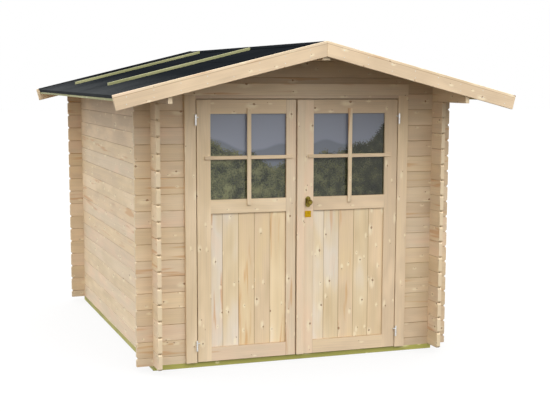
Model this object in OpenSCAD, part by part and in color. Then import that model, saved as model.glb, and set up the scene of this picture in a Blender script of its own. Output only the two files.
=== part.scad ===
// Log garden shed with double half-glazed doors, a low gable roof in felt and
// foundation beams. Millimetres. X to the right, Y into the depth, Z up.
// The origin is under the middle of the roof's outline, on the ground.

/* [Walls] */
// width over the outer faces of the two side walls
wall_w = 2150; // [1700:10:3000]
// depth from the front wall's outer face to the back wall's outer face
wall_d = 2770; // [1500:10:4500]
// height of one log course
log_pitch = 114; // [90:1:145]
// thickness of a wall log
log_t = 28; // [19:1:58]
// whole log courses in a side wall under its purlin
courses = 16; // [12:1:20]
// length of the front and back logs beyond the side walls
log_ext = 115; // [60:5:200]
// length of the side logs in front of the front wall
front_ext = 160; // [60:5:250]
// depth of the V joint between two logs
joint_v = 3; // [1:0.5:6]
// bevel on the top and bottom corners of a log's end
end_bevel = 12; // [4:1:20]

/* [Base] */
// height of a foundation beam
beam_h = 36; // [28:1:70]
// width of a foundation beam
beam_w = 60; // [45:1:100]
// thickness of the floor boards
floor_t = 18; // [16:1:28]
// bearers under the floor
bearers = 4; // [2:1:8]

/* [Roof] */
// slope of the roof in degrees
roof_angle = 14; // [10:0.5:25]
// reach of the barge boards' ends beyond a side wall's outer face
eave_reach = 360; // [200:10:500]
// reach of a barge board's end beyond the eave strip
barge_past = 32; // [0:1:80]
// reach of the roof in front of the front wall
front_reach = 530; // [200:10:900]
// reach of the roof behind the back wall
back_reach = 200; // [130:10:400]
// thickness of the roof boards
deck_t = 18; // [14:1:28]
// thickness of the roofing felt
felt_t = 3; // [2:0.5:5]
// height of a barge board
barge_h = 100; // [80:5:150]
// thickness of a barge board
barge_t = 20; // [16:1:28]
// rise of the barge boards over the roof boards
barge_rise = 11; // [5:1:30]
// width of the ridge purlin
ridge_w = 56; // [42:1:90]
// height of the ridge purlin at its middle
ridge_h = 97; // [60:1:180]
// thickness of the strip along the eave
eave_strip_t = 18; // [14:1:28]
// drop of the eave strip under the roof boards' edge
eave_strip_drop = 15; // [0:1:30]
// height of a batten on the felt
felt_batten_h = 20; // [12:1:30]
// width of a batten on the felt
felt_batten_w = 45; // [30:1:70]
// distance of the front batten from the front wall's face
batten_front = 810; // [300:10:1400]
// distance of the back batten from the back wall's face
batten_back = 520; // [60:10:1000]
// distance of a batten's upper end from the peak
batten_x0 = 110; // [40:5:300]
// distance of a batten's lower end from the peak
batten_x1 = 1200; // [700:5:1300]
// play between the layers that lie on the slopes
lay_gap = 0.05; // [0.02:0.01:0.3]

/* [Doorway] */
// clear half width between the door frame's sides
frame_half = 762; // [600:1:900]
// play between the door frame and the logs over it
head_play = 12; // [5:1:40]
// width of the frame seen from the front
frame_face = 80; // [60:5:120]
// height of the head board of the frame
head_board_h = 84; // [60:1:100]
// thickness of the frame's boards
frame_t = 20; // [16:1:28]
// width of the stop behind the leaves
stop_w = 20; // [12:1:30]
// gap between the threshold and the floor
floor_gap = 2; // [1:0.5:10]

/* [Leaves] */
// thickness of a leaf
leaf_t = 40; // [34:1:54]
// width of the stiles and rails
stile_w = 98; // [70:1:120]
// gap between a leaf and the frame's side
side_gap = 6; // [5:0.5:10]
// gap over a leaf
top_gap = 7; // [5:0.5:12]
// gap under a leaf
foot_gap = 5; // [5:0.5:15]
// gap behind a closed leaf
stop_gap = 6; // [5:0.5:10]
// gap between the two leaves
meet_gap = 7; // [6.5:0.5:12]
// width of the cover strip on the right leaf
cover_w = 54; // [35:1:70]
// thickness of the cover strip
cover_t = 14; // [8:1:25]
// distance of the cover strip's middle from the shed's middle
cover_shift = 3; // [-10:1:10]
// distance of the panels and panes from the shed's middle
pane_in = 104; // [90:1:140]
// height of the solid panel's opening
panel_open_h = 950; // [500:5:1300]
// thickness of the boarded panel
panel_t = 16; // [12:1:20]
// thickness of the glass
glass_t = 4; // [3:1:6]
// depth of the grooves that hold panel and glass
groove_d = 10; // [6:1:15]

/* [Hinges] */
// radius of a hinge barrel
barrel_r = 7; // [5:0.5:10]
// length of one half of a hinge barrel
barrel_l = 36; // [25:1:60]
// radius of the hinge pin
pin_r = 4; // [3:0.5:5]
// radius of the shanks that carry the barrels
shank_r = 3.5; // [2.5:0.5:5]
// distance of the pin's axis outwards from the frame's inner side
axis_out = 4; // [2:0.5:10]
// free space between a barrel and the frame's face
barrel_gap = 5; // [5:0.5:10]
// thickness of the closed top of a hinge barrel
barrel_cap = 2; // [1:0.5:5]
// gap between the two halves of a hinge barrel
knuckle_gap = 0.5; // [0.3:0.1:2]
// distance from the pin to the leaf's shank
shank_reach = 18; // [14:1:30]
// running clearance round a pin or spindle
run_gap = 0.1; // [0.05:0.05:0.3]
// height of the lower hinge over the beams
hinge_low = 125; // [80:5:300]
// distance of the upper hinge under the leaves' top
hinge_drop = 137; // [100:1:300]

/* [Lock] */
// radius of the door knob
knob_r = 20; // [15:1:30]
// distance of the knob's middle from the leaf's face
knob_out = 40; // [30:1:60]
// height of the knob over the beams
knob_z = 1117; // [900:1:1300]
// distance of the knob from the middle of the shed
knob_x = 62; // [50:1:90]
// width of the knob's oval plate
knob_plate_w = 40; // [30:1:50]
// height of the knob's oval plate
knob_plate_h = 78; // [60:1:100]
// thickness of the knob's plate
knob_plate_t = 4; // [2:0.5:8]
// side of the square key plate
key_plate_w = 46; // [35:1:60]
// distance of the key plate under the knob
key_drop = 88; // [70:1:120]
// thickness of the key plate
key_plate_t = 3; // [2:0.5:6]
// radius of the knob's neck
neck_r = 8; // [5:0.5:10]
// radius of the keyhole
keyhole_r = 4; // [3:0.5:6]

/* [Hidden] */
$fn = 48;
eps = 1;
roof_tan = tan(roof_angle);
roof_half = wall_w/2 + eave_reach;
roof_len = front_reach + wall_d + back_reach;
roof_y0 = -roof_len/2;
roof_y1 = roof_len/2;
front_y = roof_y0 + front_reach;
back_y = front_y + wall_d;
log_half = wall_w/2 + log_ext;
inner_half = wall_w/2 - log_t;
p = log_pitch;
eave_z = beam_h + (courses + 1)*p;
peak_z = eave_z + wall_w/2*roof_tan;
gable_z = beam_h + (courses + 0.5)*p;
gable_top = ceil((peak_z - beam_h)/p - 0.5);
ridge_z = peak_z - ridge_h;
deck_foot = lay_gap;
deck_top = deck_foot + deck_t/cos(roof_angle);
felt_foot = deck_top + lay_gap;
felt_top = felt_foot + felt_t/cos(roof_angle);
felt_half = roof_half - barge_past;
deck_half = felt_half - eave_strip_t;
deck_y0 = roof_y0 + barge_t;
deck_y1 = roof_y1 - barge_t;
open_half = frame_half + frame_t;
face_y = front_y - frame_t;
leaf_back = face_y + leaf_t;
stop_y = leaf_back + stop_gap;
frame_back = front_y + log_t + frame_t;
leaf_foot = beam_h + foot_gap;
head_z = gable_z - head_play - frame_t;
leaf_top = head_z - top_gap;
leaf_out = frame_half - side_gap;
pane_out = leaf_out - stile_w;
right_in = cover_shift - cover_w/2;
left_in = right_in - meet_gap;
leaf_mid = (face_y + leaf_back)/2;
panel_foot = leaf_foot + stile_w;
glass_foot = panel_foot + panel_open_h + stile_w;
axis_x = frame_half + axis_out;
axis_y = face_y - barrel_gap - barrel_r;
hinge_levels = [beam_h + hinge_low, leaf_top - hinge_drop];
bore_l = barrel_l - barrel_cap;
pin_l = bore_l - barrel_cap;

// ---- helpers ----

// a box between two corners
module box(a, b) { translate(a) cube(b - a); }

// the cross section of one log: thickness along x, height along y, with
// bevelled edges that make the V joints
module log_section() {
  v = joint_v;
  polygon([[0, v], [v, 0], [log_t - v, 0], [log_t, v],
           [log_t, p - v], [log_t - v, p], [v, p], [0, p - v]]);
}

// the side view of one log from a to b, its end corners bevelled where cut is 1
module log_side(a, b, cut_a, cut_b) {
  ca = cut_a*end_bevel;
  cb = cut_b*end_bevel;
  polygon([[a, ca], [a + ca, 0], [b - cb, 0], [b, cb],
           [b, p - cb], [b - cb, p], [a + ca, p], [a, p - ca]]);
}

// one log along X, outer face at y, foot at z
module log_x(a, b, y, z, cut_a = 1, cut_b = 1) {
  intersection() {
    translate([a, y, z]) rotate([90, 0, 90]) linear_extrude(b - a) log_section();
    translate([0, y + log_t, z]) rotate([90, 0, 0]) linear_extrude(log_t)
      log_side(a, b, cut_a, cut_b);
  }
}

// one log along Y, left face at x, foot at z
module log_y(a, b, x, z) {
  intersection() {
    translate([x, b, z]) rotate([90, 0, 0]) linear_extrude(b - a) log_section();
    translate([x, 0, z]) rotate([90, 0, 90]) linear_extrude(log_t)
      log_side(a, b, 1, 1);
  }
}

// the space under the roof boards, seen from the front
module under_roof(y, t) {
  translate([0, y + t, 0]) rotate([90, 0, 0]) linear_extrude(t)
    polygon([[-roof_half, 0], [roof_half, 0],
             [roof_half, peak_z - roof_half*roof_tan], [0, peak_z],
             [-roof_half, peak_z - roof_half*roof_tan]]);
}

// the notches in the front or back wall where the side walls' logs cross
module notches_x(y) {
  for (s = [-1, 1], k = [0 : courses])
    box([s*(wall_w/2 - log_t/2) - log_t/2, y, beam_h + (k + 0.25)*p],
        [s*(wall_w/2 - log_t/2) + log_t/2, y + log_t, beam_h + (k + 0.75)*p]);
}

// the notches in a side wall where the front and back walls' logs cross
module notches_y(x) {
  for (y = [front_y, back_y - log_t], k = [0 : courses + 1])
    box([x, y, beam_h + (k - 0.25)*p], [x + log_t, y + log_t, beam_h + (k + 0.25)*p]);
}

// the front wall beside the doorway, on the right for s = 1
module front_wall_side(s) {
  a = s > 0 ? open_half : -log_half;
  b = s > 0 ? log_half : -open_half;
  difference() {
    intersection() {
      union() for (k = [0 : courses])
        log_x(a, b, front_y, beam_h + (k - 0.5)*p, s > 0 ? 0 : 1, s > 0 ? 1 : 0);
      box([a, front_y, beam_h], [b, front_y + log_t, gable_z]);
    }
    notches_x(front_y);
  }
}

// the log courses of a gable from course k0 up to the roof
module gable_logs(y, k0) {
  difference() {
    intersection() {
      union() for (k = [k0 : gable_top]) log_x(-log_half, log_half, y, beam_h + (k - 0.5)*p);
      under_roof(y, log_t);
      box([-log_half, y, beam_h], [log_half, y + log_t, peak_z]);
    }
    notches_x(y);
    box([-ridge_w/2, y, ridge_z], [ridge_w/2, y + log_t, peak_z + eps]);
  }
}

// a side wall, its outer face on the side s
module side_wall(s) {
  x = s > 0 ? inner_half : -wall_w/2;
  difference() {
    union() for (k = [0 : courses - 1])
      log_y(front_y - front_ext, back_y + log_ext, x, beam_h + k*p);
    notches_y(x);
  }
}

// the eave purlin: the wall's top log, long enough to carry the overhangs
module eave_purlin(s) {
  x = s > 0 ? inner_half : -wall_w/2;
  foot = eave_z - p;
  difference() {
    intersection() {
      translate([0, deck_y1, 0]) rotate([90, 0, 0]) linear_extrude(deck_y1 - deck_y0)
        polygon([[x + joint_v, foot], [x + log_t - joint_v, foot], [x + log_t, foot + joint_v],
                 [x + log_t, peak_z], [x, peak_z], [x, foot + joint_v]]);
      under_roof(deck_y0, deck_y1 - deck_y0);
    }
    notches_y(x);
  }
}

// one slope's layer between the heights foot and top over the purlins' slope
module slope_layer(s, foot, top, half) {
  drop = half*roof_tan;
  translate([0, deck_y1, peak_z]) rotate([90, 0, 0]) linear_extrude(deck_y1 - deck_y0)
    polygon([[0, foot], [0, top], [s*half, top - drop], [s*half, foot - drop]]);
}

// the strip along an eave
module eave_strip(s) {
  foot = -felt_half*roof_tan - eave_strip_drop;
  translate([0, deck_y1, peak_z]) rotate([90, 0, 0]) linear_extrude(deck_y1 - deck_y0)
    polygon([[s*deck_half, foot], [s*deck_half, deck_top - deck_half*roof_tan],
             [s*felt_half, deck_top - felt_half*roof_tan], [s*felt_half, foot]]);
}

// the two battens on one slope
module felt_battens(s) {
  foot = peak_z + felt_top + lay_gap;
  top = foot + felt_batten_h/cos(roof_angle);
  x0 = batten_x0;
  x1 = batten_x1;
  for (y = [front_y + batten_front, back_y - batten_back])
    translate([0, y + felt_batten_w/2, 0]) rotate([90, 0, 0]) linear_extrude(felt_batten_w)
      polygon([[s*x0, foot - x0*roof_tan], [s*x0, top - x0*roof_tan],
               [s*x1, top - x1*roof_tan], [s*x1, foot - x1*roof_tan]]);
}

// a barge board with a plumb joint at the peak and an end square to the slope
module barge_board(s, y) {
  top = peak_z + deck_top + barge_rise/cos(roof_angle);
  dx = barge_h*sin(roof_angle);
  dz = barge_h*cos(roof_angle);
  end_z = top - roof_half*roof_tan;
  translate([0, y + barge_t, 0]) rotate([90, 0, 0]) linear_extrude(barge_t)
    polygon([[0, top - barge_h/cos(roof_angle)], [0, top],
             [s*roof_half, end_z], [s*(roof_half - dx), end_z - dz]]);
}

// a side of the door frame: front board, lining, inner board and stop
module door_frame_side(s) {
  top = head_z + frame_t;
  a = frame_half;
  b = frame_half + frame_face;
  mirror([s > 0 ? 0 : 1, 0, 0]) {
    box([a, face_y, beam_h], [b, front_y, top]);
    box([a, front_y, beam_h], [a + frame_t, front_y + log_t, top]);
    box([a, front_y + log_t, beam_h], [b, frame_back, top]);
    box([a - stop_w, stop_y, beam_h], [a, frame_back, head_z]);
  }
}

// the head of the door frame with its front and inner boards and its stop
module door_head() {
  foot = head_z + frame_t;
  top = foot + head_board_h;
  b = frame_half + frame_face;
  box([-frame_half, face_y, head_z], [frame_half, frame_back, foot]);
  box([-b, face_y, foot], [b, front_y, top]);
  box([-b, front_y + log_t, foot], [b, frame_back, top]);
  box([-(frame_half - stop_w), stop_y, head_z - stop_w],
      [frame_half - stop_w, frame_back, head_z]);
}

// a leaf's frame from xa to xb, grooved for the panel and the glass on the side s
module leaf_frame(s, xa, xb) {
  difference() {
    box([xa, face_y, leaf_foot], [xb, leaf_back, leaf_top]);
    mirror([s > 0 ? 0 : 1, 0, 0]) {
      box([pane_in, face_y - eps, panel_foot],
          [pane_out, leaf_back + eps, panel_foot + panel_open_h]);
      box([pane_in, face_y - eps, glass_foot], [pane_out, leaf_back + eps, leaf_top - stile_w]);
    }
    leaf_panel(s);
    leaf_glass(s);
  }
}

// the boarded panel in the lower part of a leaf
module leaf_panel(s)
  mirror([s > 0 ? 0 : 1, 0, 0])
    box([pane_in - groove_d, leaf_mid - panel_t/2, panel_foot - groove_d],
        [pane_out + groove_d, leaf_mid + panel_t/2, panel_foot + panel_open_h + groove_d]);

// the pane in the upper part of a leaf
module leaf_glass(s)
  mirror([s > 0 ? 0 : 1, 0, 0])
    box([pane_in - groove_d, leaf_mid - glass_t/2, glass_foot - groove_d],
        [pane_out + groove_d, leaf_mid + glass_t/2, leaf_top - stile_w + groove_d]);

// the fixed half of each hinge on one side: shank, lower barrel and pin
module hinge_posts(s) {
  for (z = hinge_levels) translate([s*axis_x, axis_y, z]) {
    translate([0, 0, -barrel_l]) cylinder(r = barrel_r, h = barrel_l);
    translate([0, 0, -eps]) cylinder(r = pin_r, h = pin_l + eps);
    translate([0, 0, -barrel_l/2]) rotate([-90, 0, 0])
      cylinder(r = shank_r, h = barrel_gap + barrel_r);
  }
}

// the moving half of each hinge on one side: upper barrel and its shank
module hinge_barrels(s) {
  for (z = hinge_levels) translate([s*axis_x, axis_y, z]) difference() {
    union() {
      translate([0, 0, knuckle_gap]) cylinder(r = barrel_r, h = barrel_l - knuckle_gap);
      translate([0, 0, barrel_l/2]) {
        rotate([0, -90*s, 0]) cylinder(r = shank_r, h = shank_reach);
        translate([-s*shank_reach, 0, 0]) rotate([-90, 0, 0])
          cylinder(r = shank_r, h = barrel_gap + barrel_r);
        translate([-s*shank_reach, 0, 0]) sphere(r = shank_r);
      }
    }
    translate([0, 0, -eps]) cylinder(r = pin_r + run_gap, h = bore_l + eps);
  }
}

// ---- base and floor ----

module base_beam_front() color("DarkKhaki")
  box([-wall_w/2, front_y, 0], [wall_w/2, front_y + beam_w, beam_h]);

module base_beam_back() color("DarkKhaki")
  box([-wall_w/2, back_y - beam_w, 0], [wall_w/2, back_y, beam_h]);

module base_beam_left() color("DarkKhaki")
  box([-wall_w/2, front_y + beam_w, 0], [-wall_w/2 + beam_w, back_y - beam_w, beam_h]);

module base_beam_right() color("DarkKhaki")
  box([wall_w/2 - beam_w, front_y + beam_w, 0], [wall_w/2, back_y - beam_w, beam_h]);

module floor_bearers() color("DarkKhaki") {
  pitch = (wall_w - 2*beam_w)/(bearers + 1);
  for (i = [1 : bearers]) {
    x = -wall_w/2 + beam_w + i*pitch;
    box([x - beam_w/2, front_y + beam_w, 0], [x + beam_w/2, back_y - beam_w, beam_h]);
  }
}

module floor_boards() color("BurlyWood")
  box([-inner_half, frame_back + floor_gap, beam_h], [inner_half, back_y - log_t, beam_h + floor_t]);

// ---- walls and purlins ----

module front_wall_left() color("Wheat") front_wall_side(-1);
module front_wall_right() color("Wheat") front_wall_side(1);
module front_gable_wall() color("Wheat") gable_logs(front_y, courses + 1);
module back_wall() color("Wheat") gable_logs(back_y - log_t, 0);
module left_wall() color("Wheat") side_wall(-1);
module right_wall() color("Wheat") side_wall(1);

module ridge_purlin() color("Wheat")
  intersection() {
    box([-ridge_w/2, deck_y0, ridge_z], [ridge_w/2, deck_y1, peak_z + eps]);
    under_roof(deck_y0, deck_y1 - deck_y0);
  }

module eave_purlin_left() color("Wheat") eave_purlin(-1);
module eave_purlin_right() color("Wheat") eave_purlin(1);

// ---- roof ----

module roof_deck_left() color("BurlyWood") slope_layer(-1, deck_foot, deck_top, deck_half);
module roof_deck_right() color("BurlyWood") slope_layer(1, deck_foot, deck_top, deck_half);
module roof_felt_left() color("DimGray") slope_layer(-1, felt_foot, felt_top, felt_half);
module roof_felt_right() color("DimGray") slope_layer(1, felt_foot, felt_top, felt_half);
module eave_strip_left() color("DarkKhaki") eave_strip(-1);
module eave_strip_right() color("DarkKhaki") eave_strip(1);
module felt_battens_left() color("DarkKhaki") felt_battens(-1);
module felt_battens_right() color("DarkKhaki") felt_battens(1);
module barge_board_front_left() color("Wheat") barge_board(-1, roof_y0);
module barge_board_front_right() color("Wheat") barge_board(1, roof_y0);
module barge_board_back_left() color("Wheat") barge_board(-1, roof_y1 - barge_t);
module barge_board_back_right() color("Wheat") barge_board(1, roof_y1 - barge_t);

// ---- doorway ----

module door_frame_left() color("Tan") door_frame_side(-1);
module door_frame_right() color("Tan") door_frame_side(1);
module door_frame_head() color("Tan") door_head();

module door_threshold() color("Tan")
  box([-(frame_half - stop_w), stop_y, beam_h], [frame_half - stop_w, frame_back, beam_h + frame_t]);

module hinge_posts_left() color("Silver") hinge_posts(-1);
module hinge_posts_right() color("Silver") hinge_posts(1);

// ---- leaves ----

module left_leaf_frame() color("Tan") leaf_frame(-1, -leaf_out, left_in);
module left_leaf_panel() color("Wheat") leaf_panel(-1);
module left_leaf_glass() color("LightSteelBlue", 0.5) leaf_glass(-1);
module left_leaf_hinges() color("Silver") hinge_barrels(-1);

module right_leaf_frame() color("Tan") leaf_frame(1, right_in, leaf_out);
module right_leaf_panel() color("Wheat") leaf_panel(1);
module right_leaf_glass() color("LightSteelBlue", 0.5) leaf_glass(1);
module right_leaf_hinges() color("Silver") hinge_barrels(1);

module cover_strip() color("Tan")
  box([right_in, face_y - cover_t, leaf_foot], [right_in + cover_w, face_y, leaf_top]);

// ---- lock ----

module knob_plate() color("DarkGoldenrod")
  translate([knob_x, face_y, beam_h + knob_z]) rotate([90, 0, 0]) difference() {
    r = knob_plate_w/2;
    h = knob_plate_h/2 - r;
    union() {
      translate([0, h, 0]) cylinder(r = r, h = knob_plate_t);
      translate([0, -h, 0]) cylinder(r = r, h = knob_plate_t);
      translate([-r, -h, 0]) cube([2*r, 2*h, knob_plate_t]);
    }
    translate([0, 0, -eps]) cylinder(r = neck_r + run_gap, h = knob_plate_t + 2*eps);
  }

module key_plate() color("Goldenrod")
  translate([knob_x, face_y, beam_h + knob_z - key_drop]) rotate([90, 0, 0]) difference() {
    w = key_plate_w;
    r = keyhole_r;
    translate([-w/2, -w/2, 0]) cube([w, w, key_plate_t]);
    translate([0, r, -eps]) cylinder(r = r, h = key_plate_t + 2*eps);
    translate([-r/2, -2*r, -eps]) cube([r, 3*r, key_plate_t + 2*eps]);
  }

module door_knob() color("DarkOliveGreen")
  translate([knob_x, face_y, beam_h + knob_z]) rotate([90, 0, 0]) {
    translate([0, 0, run_gap]) cylinder(r = neck_r, h = knob_out - run_gap);
    translate([0, 0, knob_out]) sphere(r = knob_r);
  }

// ---- selection ----

base_beam_front();
base_beam_back();
base_beam_left();
base_beam_right();
floor_bearers();
floor_boards();
front_wall_left();
front_wall_right();
front_gable_wall();
back_wall();
left_wall();
right_wall();
ridge_purlin();
eave_purlin_left();
eave_purlin_right();
roof_deck_left();
roof_deck_right();
roof_felt_left();
roof_felt_right();
eave_strip_left();
eave_strip_right();
felt_battens_left();
felt_battens_right();
barge_board_front_left();
barge_board_front_right();
barge_board_back_left();
barge_board_back_right();
door_frame_left();
door_frame_right();
door_frame_head();
door_threshold();
hinge_posts_left();
hinge_posts_right();
left_leaf_frame();
left_leaf_panel();
left_leaf_glass();
left_leaf_hinges();
right_leaf_frame();
right_leaf_panel();
right_leaf_glass();
right_leaf_hinges();
cover_strip();
knob_plate();
key_plate();
door_knob();
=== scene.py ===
import math

import bmesh
import bpy
from mathutils import Matrix, Vector


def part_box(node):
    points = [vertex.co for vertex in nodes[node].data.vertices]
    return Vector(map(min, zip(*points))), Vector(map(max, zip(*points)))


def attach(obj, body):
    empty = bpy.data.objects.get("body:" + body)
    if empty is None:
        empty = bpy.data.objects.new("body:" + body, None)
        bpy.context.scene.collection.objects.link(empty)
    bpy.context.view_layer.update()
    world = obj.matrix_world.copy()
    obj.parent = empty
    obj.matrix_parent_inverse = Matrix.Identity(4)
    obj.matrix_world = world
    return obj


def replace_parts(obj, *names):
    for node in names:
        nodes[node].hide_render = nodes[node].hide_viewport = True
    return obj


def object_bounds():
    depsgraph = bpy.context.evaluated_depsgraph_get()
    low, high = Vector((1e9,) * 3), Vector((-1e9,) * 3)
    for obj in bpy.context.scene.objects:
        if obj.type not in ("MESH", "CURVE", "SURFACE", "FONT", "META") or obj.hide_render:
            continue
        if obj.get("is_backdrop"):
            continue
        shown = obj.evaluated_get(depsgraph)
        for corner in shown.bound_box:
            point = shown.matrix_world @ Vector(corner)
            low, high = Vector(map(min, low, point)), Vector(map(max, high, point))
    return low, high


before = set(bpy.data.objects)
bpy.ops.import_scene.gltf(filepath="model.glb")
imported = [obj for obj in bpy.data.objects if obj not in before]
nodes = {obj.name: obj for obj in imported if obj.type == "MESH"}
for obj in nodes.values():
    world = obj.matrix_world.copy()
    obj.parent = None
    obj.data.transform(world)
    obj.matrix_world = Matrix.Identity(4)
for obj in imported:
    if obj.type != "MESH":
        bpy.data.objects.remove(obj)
cad_low, cad_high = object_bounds()

# ---- sizes, in metres, from the frame where a piece meets one of its nodes ----

MM = 0.001
SLOPE = math.radians(14)

left_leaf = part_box("left_leaf_frame")
left_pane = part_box("left_leaf_glass")
right_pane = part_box("right_leaf_glass")
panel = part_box("left_leaf_panel")

PITCH = 114 * MM                       # one log course
BASE_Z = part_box("base_beam_front")[1].z
FACE_Y = left_leaf[0].y                # outer face of the leaves
GROOVE = 10 * MM                       # depth of the grooves round panel and glass
PANE_IN = right_pane[0].x + GROOVE     # inner edge of the panes' openings
PANE_OUT = right_pane[1].x - GROOVE
PANES = (("left", (-PANE_OUT, -PANE_IN)), ("right", (PANE_IN, PANE_OUT)))
PANE_Z = (left_pane[0].z + GROOVE, left_pane[1].z - GROOVE)
PANE_MIDDLE = BASE_Z + 1442 * MM       # level of the bars across the panes
PANEL_Z = (panel[0].z + GROOVE, panel[1].z - GROOVE)
EAVE_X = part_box("roof_felt_right")[1].x
JUST = 0.1 * MM                        # gap between parts that touch
SKIN = 0.02 * MM                       # and between a flat part and the face it lies on


# ---- nodes, colours and pieces ----

def colour(text):
    """An sRGB hex value as linear RGBA."""
    parts = [int(text[i:i + 2], 16) / 255 for i in (1, 3, 5)]
    linear = [c / 12.92 if c <= 0.04045 else ((c + 0.055) / 1.055) ** 2.4 for c in parts]
    return (*linear, 1.0)


def add(tree, kind, inputs=None, **settings):
    """A node with its settings, each input linked or set."""
    made = tree.nodes.new("ShaderNode" + kind)
    for name, value in settings.items():
        setattr(made, name, value)
    for socket, value in (inputs or {}).items():
        if isinstance(value, bpy.types.NodeSocket):
            tree.links.new(value, made.inputs[socket])
        else:
            made.inputs[socket].default_value = value
    return made


def new_material(name):
    """An empty material with its node tree."""
    made = bpy.data.materials.new(name)
    made.use_nodes = True
    made.node_tree.nodes.clear()
    return made, made.node_tree


def paint(name, material):
    """Gives a frame node its material."""
    mesh = nodes[name].data
    mesh.materials.clear()
    mesh.materials.append(material)


def soften(name, width, segments=2):
    """Rounds the edges of a frame node, as sanding does."""
    made = nodes[name].modifiers.new("merge", "WELD")
    made.merge_threshold = 0.01 * MM
    made = nodes[name].modifiers.new("flat", "DECIMATE")
    made.decimate_type = "DISSOLVE"
    made.angle_limit = math.radians(0.5)
    made = nodes[name].modifiers.new("edge", "BEVEL")
    made.width = width
    made.segments = segments
    made.limit_method = "ANGLE"
    made.angle_limit = math.radians(40)
    made.harden_normals = False


def block(bm, low, high, edge, number=0.0, segments=2):
    """A board or bar between two corners with its edges rounded, and its number for the wood's figure."""
    layer = bm.faces.layers.float.get("board") or bm.faces.layers.float.new("board")
    low, high = Vector(low), Vector(high)
    size = Matrix.Diagonal((*(high - low), 1.0))
    place = Matrix.Translation((low + high) / 2) @ size
    corners = bmesh.ops.create_cube(bm, size=1.0, matrix=place)["verts"]
    faces = {f for v in corners for f in v.link_faces}
    if edge:
        edges = list({e for v in corners for e in v.link_edges})
        made = bmesh.ops.bevel(bm, geom=edges, offset=edge, offset_type="OFFSET", affect="EDGES",
                               segments=segments, profile=0.5, material=-1, clamp_overlap=True)
        faces = {f for v in made["verts"] for f in v.link_faces}
    for face in faces:
        face[layer] = number
    return list({v for f in faces for v in f.verts})


def piece(name, bm, body, material, smooth=False):
    """A finished piece that rides on a body."""
    mesh = bpy.data.meshes.new(name)
    bmesh.ops.recalc_face_normals(bm, faces=bm.faces)
    bm.to_mesh(mesh)
    bm.free()
    for polygon in mesh.polygons:
        polygon.use_smooth = smooth
    made = bpy.data.objects.new(name, mesh)
    bpy.context.scene.collection.objects.link(made)
    mesh.materials.append(material)
    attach(made, body)
    return made


# ---- wood ----

RAGGED = 4.5 * MM                      # how far a knot's outline wanders
PALE_SHIFT = (44 * MM, 12 * MM)        # how far off the pale patch lies, along and across


def knots(tree, place, cell, share, small, large, shift):
    """Knots, at most one in each cell of the board's face. Gives the way from the nearest knot, and
    how far a point lies in its dark core, in the pale patch beside it and in the thin dark line that
    runs out of it along the grain."""
    cells = add(tree, "VectorMath", {0: place, 1: (1 / cell[0], 1 / cell[1], 0), 2: (shift, shift, 0)},
                operation="MULTIPLY_ADD").outputs[0]
    spots = add(tree, "TexVoronoi", {"Vector": cells, "Scale": 1.0, "Randomness": 0.9},
                voronoi_dimensions="2D")
    chance = add(tree, "SeparateColor", {0: spots.outputs["Color"]})
    there = add(tree, "Math", {0: chance.outputs[0], 1: share}, operation="LESS_THAN").outputs[0]
    radius = add(tree, "MapRange", {"Value": chance.outputs[1], "To Min": small,
                                    "To Max": large}).outputs[0]
    away = add(tree, "VectorMath", {0: cells, 1: spots.outputs["Position"]}, operation="SUBTRACT").outputs[0]
    away = add(tree, "VectorMath", {0: away, 1: (*cell, 0)}, operation="MULTIPLY").outputs[0]
    # a ragged outline
    rough = add(tree, "TexNoise", {"Vector": place, "Scale": 90.0, "Detail": 2.0}).outputs["Color"]
    away = add(tree, "VectorMath", {0: rough, 1: (2 * RAGGED, 2 * RAGGED, 0), 2: away},
               operation="MULTIPLY_ADD").outputs[0]
    away = add(tree, "VectorMath", {0: away, 1: (RAGGED, RAGGED, 0)}, operation="SUBTRACT").outputs[0]
    # some knots are oval, drawn out along the grain
    oval = add(tree, "MapRange", {"Value": chance.outputs[2], "To Min": 1.15,
                                  "To Max": 0.7}).outputs[0]
    oval = add(tree, "CombineXYZ", {0: oval, 1: 1.0}).outputs[0]
    away = add(tree, "VectorMath", {0: away, 1: oval}, operation="MULTIPLY").outputs[0]
    reach = add(tree, "VectorMath", {0: away}, operation="LENGTH").outputs["Value"]
    reach = add(tree, "Math", {0: reach, 1: radius}, operation="DIVIDE").outputs[0]
    core = add(tree, "MapRange", {"Value": reach, "From Min": 1.25, "From Max": 0.7},
               interpolation_type="SMOOTHSTEP").outputs[0]
    core = add(tree, "Math", {0: core, 1: there}, operation="MULTIPLY").outputs[0]
    # the pale patch lies off to one side
    side = add(tree, "Math", {0: chance.outputs[1], 1: 0.5}, operation="SUBTRACT").outputs[0]
    side = add(tree, "CombineXYZ", {0: side, 1: chance.outputs[2]}).outputs[0]
    side = add(tree, "VectorMath", {0: side, 1: (*PALE_SHIFT, 0), 2: away}, operation="MULTIPLY_ADD")
    side = add(tree, "VectorMath", {0: side.outputs[0], 1: (0.55, 1, 0)}, operation="MULTIPLY").outputs[0]
    side = add(tree, "VectorMath", {0: side}, operation="LENGTH").outputs["Value"]
    side = add(tree, "Math", {0: side, 1: radius}, operation="DIVIDE").outputs[0]
    halo = add(tree, "MapRange", {"Value": side, "From Min": 3.6, "From Max": 0.8},
               interpolation_type="SMOOTHSTEP").outputs[0]
    halo = add(tree, "Math", {0: halo, 1: there}, operation="MULTIPLY").outputs[0]
    parts = add(tree, "VectorMath", {0: away, 1: (0.22, 2.8, 0)}, operation="MULTIPLY").outputs[0]
    tail = add(tree, "VectorMath", {0: parts}, operation="LENGTH").outputs["Value"]
    tail = add(tree, "Math", {0: tail, 1: radius}, operation="DIVIDE").outputs[0]
    tail = add(tree, "MapRange", {"Value": tail, "From Min": 1.3, "From Max": 0.4},
               interpolation_type="SMOOTHSTEP").outputs[0]
    tail = add(tree, "Math", {0: tail, 1: there}, operation="MULTIPLY").outputs[0]
    return away, core, halo, tail


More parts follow.
